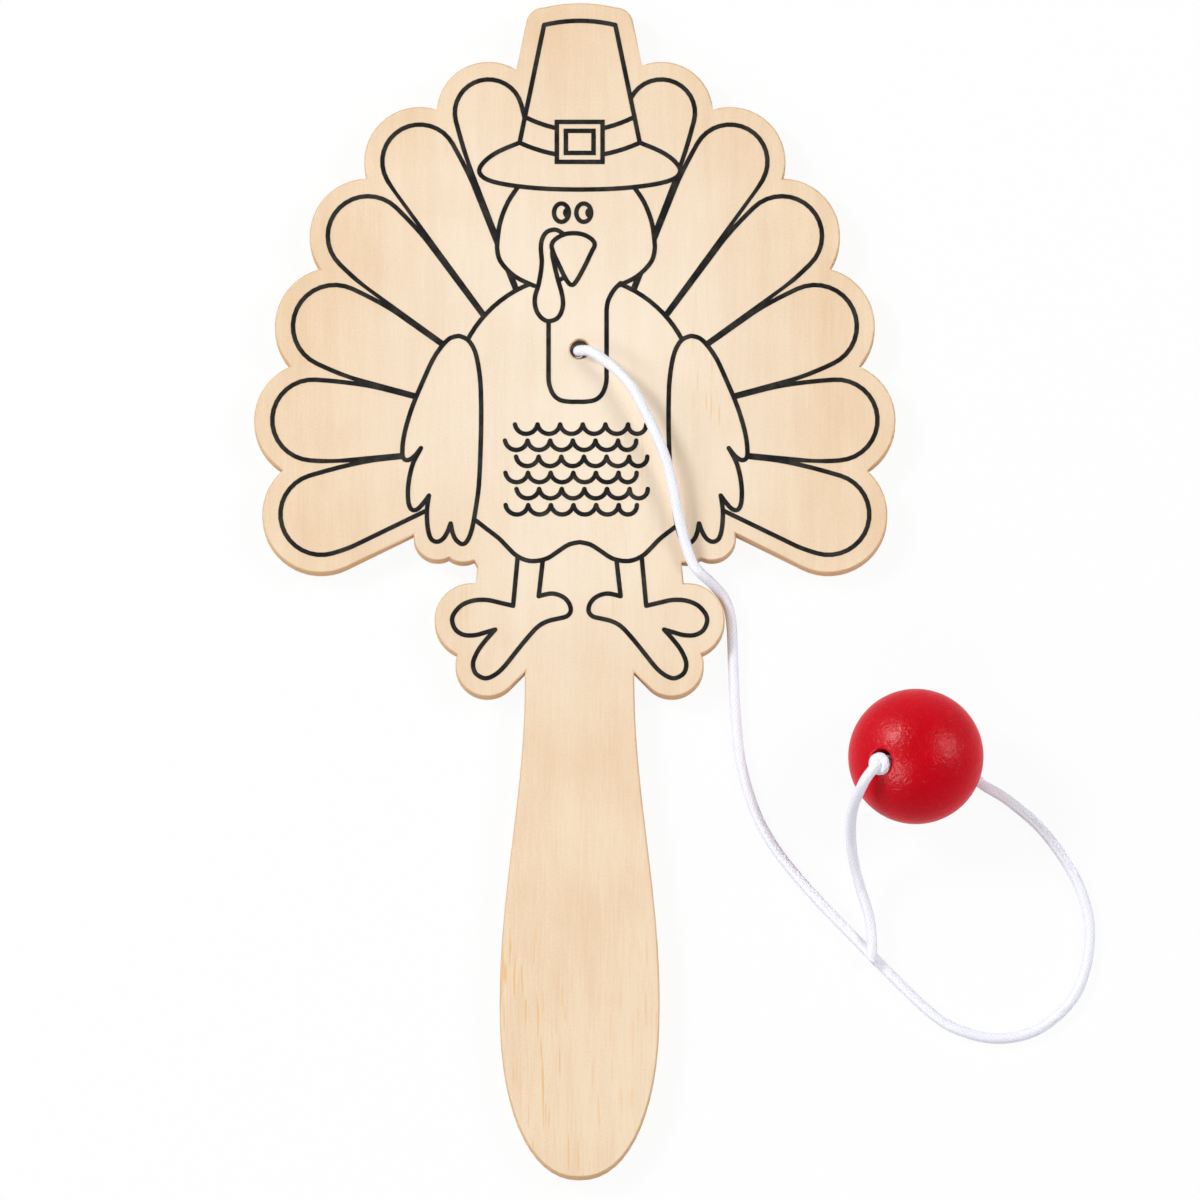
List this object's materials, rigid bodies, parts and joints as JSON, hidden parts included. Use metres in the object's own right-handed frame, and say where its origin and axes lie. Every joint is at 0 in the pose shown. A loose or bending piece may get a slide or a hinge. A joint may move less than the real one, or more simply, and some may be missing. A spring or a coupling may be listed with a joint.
{
  "type": "paddle ball game",
  "caption": "Flat wooden paddle cut round a printed turkey in a buckled hat, with a straight grip and a red bored ball on an elastic cord knotted through the paddle.",
  "frame": {"origin": "on the axis of the cord hole, in the plane of the paddle's back face", "axes": "+Z out of the printed face, +Y from the grip to the hat, +X to the right seen from the front"},
  "size_m": [0.1578, 0.2226, 0.0256],
  "materials": {
    "face_ply": "sanded, bare, pale birch",
    "core_ply": "cut edge, bare",
    "ink": "matt black screen ink",
    "cord": "braided elastic cord",
    "ball": "satin, with fine pores"
  },
  "bodies": {
    "paddle": {"front_ply": "face_ply", "core_ply": "core_ply", "back_ply": "face_ply", "tail_print": "ink", "hat_print": "ink", "head_print": "ink", "body_print": "ink", "wing_print": "ink", "feet_print": "ink", "stopper_knot": "cord", "cord": "cord"},
    "tether_end": {"ball_knot": "cord", "cord_tail": "cord"},
    "ball": {"ball": "ball"}
  },
  "joints": [
    {"name": "ball_lift", "type": "slide", "parent": "paddle", "child": "tether_end", "axis": [0, 0, 1], "range_m": [0, 0.3], "deforming": ["cord"]},
    {"name": "ball_spin", "type": "hinge", "parent": "tether_end", "child": "ball", "pos_m": [0.063, -0.0783, 0.0127], "axis": [-0.5287, -0.1821, 0.829], "continuous": true}
  ]
}
